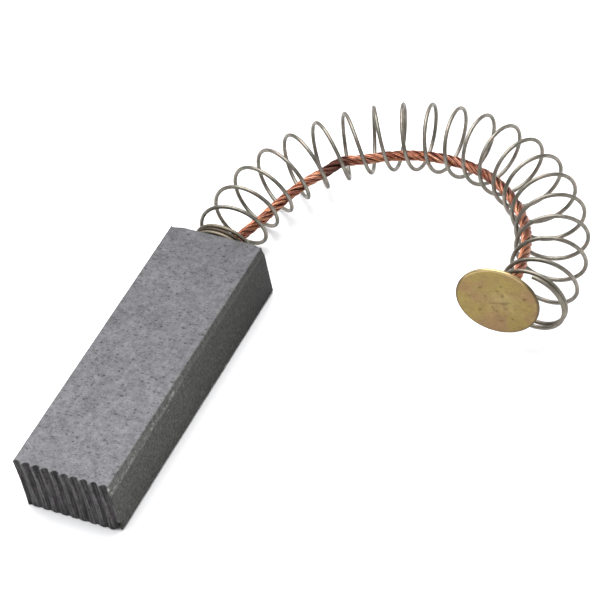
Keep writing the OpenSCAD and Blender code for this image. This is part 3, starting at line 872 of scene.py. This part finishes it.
# ======================================================================
# spring
# ======================================================================
def build_spring():
    per = 4                                       # rings to each CAD ring
    i = np.arange(COIL_N * per + 1) / per
    k = np.arange(COIL_N + 1)
    s = np.interp(i, k, line_s)
    centre = np.stack([np.interp(i, k, line_p[:, c]) for c in range(3)], axis=1)
    # smooth the centreline between the CAD's own stations
    for _ in range(6):
        centre[1:-1] = 0.25 * centre[:-2] + 0.5 * centre[1:-1] + 0.25 * centre[2:]
    a = 2 * np.pi * (COIL_PHASE + i / SEGS)
    rad = np.cos(a)[:, None] * outward(s) + np.sin(a)[:, None] * upward(s)
    x = clamp01((s / COIL_LEN - 0.31) / 0.26)
    tuck = COIL_TUCK * (1 - smooth01((s - 0.7) / 0.9))
    r = COIL_R + COIL_GROWTH * x * x * (3 - 2 * x) - tuck
    # the closed turns sag a little at the top, down on the edge of the block
    sag = 0.10 * clamp01(np.sin(a)) ** 2 * (1 - smooth01((s - 0.8) / 1.6))
    p = centre + r[:, None] * rad - (tuck + sag)[:, None] * np.array([0.0, 0.0, 1.0])
    t = np.zeros_like(p)
    t[1:-1] = p[2:] - p[:-2]
    t[0], t[-1] = p[1] - p[0], p[-1] - p[-2]
    t = unit(t)
    u = unit(rad - t * np.sum(rad * t, axis=1, keepdims=True))
    w = np.cross(u, t)
    sides = 16
    # the wire's radius, the same all along
    radius = np.full(len(p), WIRE_D / 2)
    verts, quads, tris = tube(p, radius, sides, u, w)
    n = len(verts)
    # end caps on rings of their own, so that the cut keeps its sharp edge
    ring0, ring1 = verts[:sides].copy(), verts[(len(p) - 1) * sides:len(p) * sides].copy()
    verts = np.vstack([verts, ring0, ring1])
    tris = tris.copy()
    first = tris[:sides]
    first[:, 1:] += n
    last = tris[sides:]
    last[:, 1:] += n + sides - (len(p) - 1) * sides
    tris = np.vstack([first, last])
    s_all = np.concatenate([np.repeat(s, sides), [0, COIL_LEN], np.zeros(sides), np.full(sides, COIL_LEN)])
    warm = np.clip(smooth01((1.3 - s_all) / 0.4) + 0.35 * smooth01((s_all - COIL_LEN + 1.0) / 0.5), 0, 1)
    cut = np.zeros(len(verts))
    cut[(len(p)) * sides:] = 1.0
    # painted shade: metal that looks down is darkened, and so is the seam between the closed turns
    around = 2 * np.pi * np.arange(sides) / sides
    nz = (np.cos(around)[None, :] * u[:, 2:3] + np.sin(around)[None, :] * w[:, 2:3]).ravel()
    underside_shade = np.concatenate([smooth01((0.15 - nz) / 0.9), [0, 0], np.zeros(2 * sides)])
    turn = np.repeat(i / SEGS, sides)
    closed = smooth01((3.0 - turn) / 0.3)
    # the middle closed turn is painted dark all round, as if in shade
    middle = smooth01((turn - 1.20) / 0.15) * smooth01((2.22 - turn) / 0.15)
    seam_shade = np.concatenate([np.maximum(closed * 0.8 * smooth01((0.20 - nz) / 0.45), 0.8 * middle),
                           [0, 0], np.zeros(2 * sides)])
    quads = quads[:, ::-1]
    tris = tris[:, ::-1]
    obj = make_mesh("spring_coil", verts, [quads, tris], True,
                    {"warm": warm, "cut": cut, "underside_shade": underside_shade, "seam_shade": seam_shade})
    obj.data.materials.append(spring_material())
    return obj


spring = build_spring()
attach(spring, "root")
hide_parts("spring")


# ======================================================================
# terminal disc with its crimped neck
# ======================================================================
def build_disc():
    n = DISC_OUT
    a_axis = unit(np.array([-n[1], n[0], 0.0]))
    b_axis = np.cross(n, a_axis)
    R, T = DISC_D / 2, DISC_T
    # profile from the middle of the outer face, over the rim, to the back and the neck
    prof = [(r, T, 0) for r in np.linspace(0.09, R - 0.30, 34)]
    prof += [(R - 0.22, T, 0), (R - 0.15, T - 0.002, 0.2)]
    for ang in np.linspace(80, 0, 7):
        prof.append((R - 0.1 + 0.1 * math.cos(math.radians(ang)), T - 0.1 + 0.1 * math.sin(math.radians(ang)), 1))
    for ang in np.linspace(0, -80, 5):
        prof.append((R - 0.06 + 0.06 * math.cos(math.radians(ang)), 0.06 + 0.06 * math.sin(math.radians(ang)), 0.6))
    prof += [(r, 0.0, 0) for r in np.linspace(R - 0.12, NECK_D / 2 + 0.16, 12)]
    prof += [(NECK_D / 2 + 0.06, -0.02, 0), (NECK_D / 2 + 0.015, -0.06, 0), (NECK_D / 2, -0.12, 0)]
    prof += [(NECK_D / 2, h, 0) for h in np.linspace(-0.18, -NECK_L + 0.1, 7)]
    prof += [(NECK_D / 2 - 0.015, -NECK_L + 0.04, 0.4), (NECK_D / 2 - 0.06, -NECK_L, 0.8),
             (LEAD_D / 2 + 0.09, -NECK_L, 0.6), (LEAD_D / 2 + 0.03, -NECK_L + 0.04, 0.2)]
    prof += [(LEAD_D / 2 + 0.02, h, 0) for h in (-NECK_L + 0.2, -0.2, -0.03)]
    prof = np.array(prof)
    segs = 144
    ang = 2 * np.pi * np.arange(segs) / segs
    rr = np.repeat(prof[:, 0], segs)
    hh = np.repeat(prof[:, 1], segs)
    rim = np.repeat(prof[:, 2], segs)
    aa = np.tile(ang, len(prof))
    # crimp: four flats pressed into the neck
    neck = (hh < -0.10) & (rr > NECK_D / 2 - 0.1)
    crimp = smooth01((-hh - 0.14) / 0.1) * smooth01((hh + NECK_L - 0.02) / 0.1)
    rr = np.where(neck, rr - 0.085 * crimp * clamp01(np.cos(4 * aa)) ** 1.5, rr)
    u, v = rr * np.cos(aa), rr * np.sin(aa)
    outer = hh > T - 0.12
    q = np.stack([u, v, 0 * u], axis=1)
    # stamping: a shallow dished middle, a pressed ring, small tool marks and handling dents
    dish = -0.018 * np.exp(-(rr / 1.0) ** 4) + 0.008 * np.exp(-((rr - 1.12) / 0.16) ** 2)
    wave = 0.030 * (fbm(q * 0.6, 71, 2) - 0.5) * smooth01((R - rr) / 0.4) + 0.012 * (fbm(q * 2.2, 73, 2) - 0.5)
    # each mark: place, two half-lengths, the way the long one runs, depth
    marks = [(-1.17, 1.30, 0.17, 0.10, 35, 0.030), (0.43, 1.62, 0.11, 0.07, 80, 0.022), (0.11, 1.12, 0.16, 0.07, 150, 0.022),
             (0.46, 0.70, 0.20, 0.08, 95, 0.022), (2.13, 0.63, 0.14, 0.10, 20, 0.030), (1.78, 0.30, 0.09, 0.06, 60, 0.014),
             (0.50, -0.12, 0.26, 0.10, 10, 0.026), (-0.37, -0.67, 0.15, 0.07, 120, 0.022), (-0.12, -0.95, 0.14, 0.06, 160, 0.020),
             (0.62, -0.62, 0.13, 0.06, 50, 0.020), (1.06, -1.56, 0.12, 0.07, 140, 0.020), (-1.38, -1.01, 0.14, 0.09, 70, 0.018),
             (0.17, -1.88, 0.22, 0.05, 5, 0.014), (1.35, -0.55, 0.07, 0.05, 0, 0.012), (-0.85, 0.45, 0.08, 0.05, 30, 0.010),
             (-2.10, 0.25, 0.10, 0.05, 110, 0.012), (1.15, 1.05, 0.07, 0.05, 130, 0.012)]
    dent = np.zeros(len(rr))
    mark = np.zeros(len(rr))
    rough_edge = 0.5 * (fbm(q * 6.0, 77, 2) - 0.5)
    for mu, mv, ma, mb, turn, md in marks:
        ca, sa = math.cos(math.radians(turn)), math.sin(math.radians(turn))
        e1, e2 = (u - mu) * ca + (v - mv) * sa, (v - mv) * ca - (u - mu) * sa
        g = np.exp(-((e1 / ma) ** 2 + (e2 / mb) ** 2) * (1 + rough_edge))
        dent -= md * g
        mark = np.maximum(mark, g)
    # a faint scored line across the middle
    lx, ly = u + 0.70, v + 0.28
    tt = (lx * 1.86 + ly * 0.37) / (1.86 ** 2 + 0.37 ** 2)
    off = np.abs(lx * 0.37 - ly * 1.86) / math.hypot(1.86, 0.37)
    line = np.exp(-(off / 0.06) ** 2) * smooth01(tt / 0.1) * smooth01((1 - tt) / 0.1)
    dent -= 0.014 * line
    mark = np.maximum(mark, 0.6 * line)
    hh = hh + np.where(outer, dish + wave + dent, 0.0)
    verts = DISC_AT + u[:, None] * a_axis + v[:, None] * b_axis + hh[:, None] * n
    m = len(prof)
    middle = DISC_AT + (T + dish[0] + float(np.mean(wave[:segs]))) * n
    bottom = DISC_AT + -0.03 * n
    verts = np.vstack([verts, middle, bottom])
    j = np.arange(segs)
    quads = np.vstack([np.stack([i * segs + j, i * segs + (j + 1) % segs, (i + 1) * segs + (j + 1) % segs,
                                 (i + 1) * segs + j], axis=-1) for i in range(m - 1)])
    c0 = np.stack([np.full(segs, m * segs), (j + 1) % segs, j], axis=-1)
    c1 = np.stack([np.full(segs, m * segs + 1), (m - 1) * segs + j, (m - 1) * segs + (j + 1) % segs], axis=-1)
    off_centre = np.hypot(u - 0.45, (v - 0.05) * 1.15)
    centre = np.concatenate([np.where(outer, smooth01((1.75 - off_centre) / 1.1), 0.0), [1, 0]])
    # painted highlight on the rim at the top, and painted shade all the way round the other side
    facing = np.cos(aa - math.radians(92))
    bright_rim = rim * smooth01((facing - 0.50) / 0.3)
    painted_rim_shade = smooth01((rr - (R - 0.19)) / 0.10) * (hh > 0.02) * smooth01((0.80 - facing) / 0.35)
    pad = [0, 0]
    obj = make_mesh("terminal_disc", verts, [quads[:, ::-1], np.vstack([c0, c1])[:, ::-1]], True, {
        "rim": np.concatenate([bright_rim, pad]), "edge": np.concatenate([painted_rim_shade, pad]),
        "mark": np.concatenate([np.where(outer, mark, 0.0), pad]), "centre": centre})
    obj.data.materials.append(brass_material())
    return obj


disc = build_disc()
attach(disc, "root")
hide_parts("terminal_cap")


# ======================================================================
# floor, light, world
# ======================================================================
def build_floor():
    n, size = 24, 1200.0
    g = np.linspace(-size, size, n + 1)
    xx, yy = np.meshgrid(g, g, indexing="ij")
    v = np.stack([xx.ravel(), yy.ravel(), np.full(xx.size, -0.01)], axis=1)
    ids = np.arange((n + 1) ** 2).reshape(n + 1, n + 1)
    q = np.stack([ids[:-1, :-1], ids[1:, :-1], ids[1:, 1:], ids[:-1, 1:]], axis=-1).reshape(-1, 4)
    obj = make_mesh("floor", v, [q], True)
    obj.data.materials.append(floor_material())
    return obj


floor = build_floor()

world = bpy.data.worlds.new("studio")
world.use_nodes = True
world.node_tree.nodes["Background"].inputs["Color"].default_value = (0.97, 0.98, 1.0, 1)
world.node_tree.nodes["Background"].inputs["Strength"].default_value = 0.55
bpy.context.scene.world = world


def area(name, place, aim, size, power, color=(1, 1, 1)):
    data = bpy.data.lights.new(name, "AREA")
    data.shape = "SQUARE"
    data.size = size
    data.energy = power
    data.color = color
    obj = bpy.data.objects.new(name, data)
    bpy.context.scene.collection.objects.link(obj)
    z = unit(np.array(place, dtype=float) - np.array(aim, dtype=float))
    x = unit(np.cross([0.0, 1.0, 0.001], z))
    y = np.cross(z, x)
    m = np.eye(4)
    m[:3, 0], m[:3, 1], m[:3, 2], m[:3, 3] = x, y, z, place
    obj.matrix_world = Matrix([list(row) for row in m])
    return obj


area("soft_top", (-0.06, 0.10, 0.42), (0.01, 0.01, 0.0), 0.46, 4.4)

bpy.context.scene.view_settings.view_transform = "Standard"
bpy.context.scene.view_settings.look = "None"
bpy.context.scene.view_settings.exposure = 0.0
bpy.context.scene.view_settings.gamma = 1.0
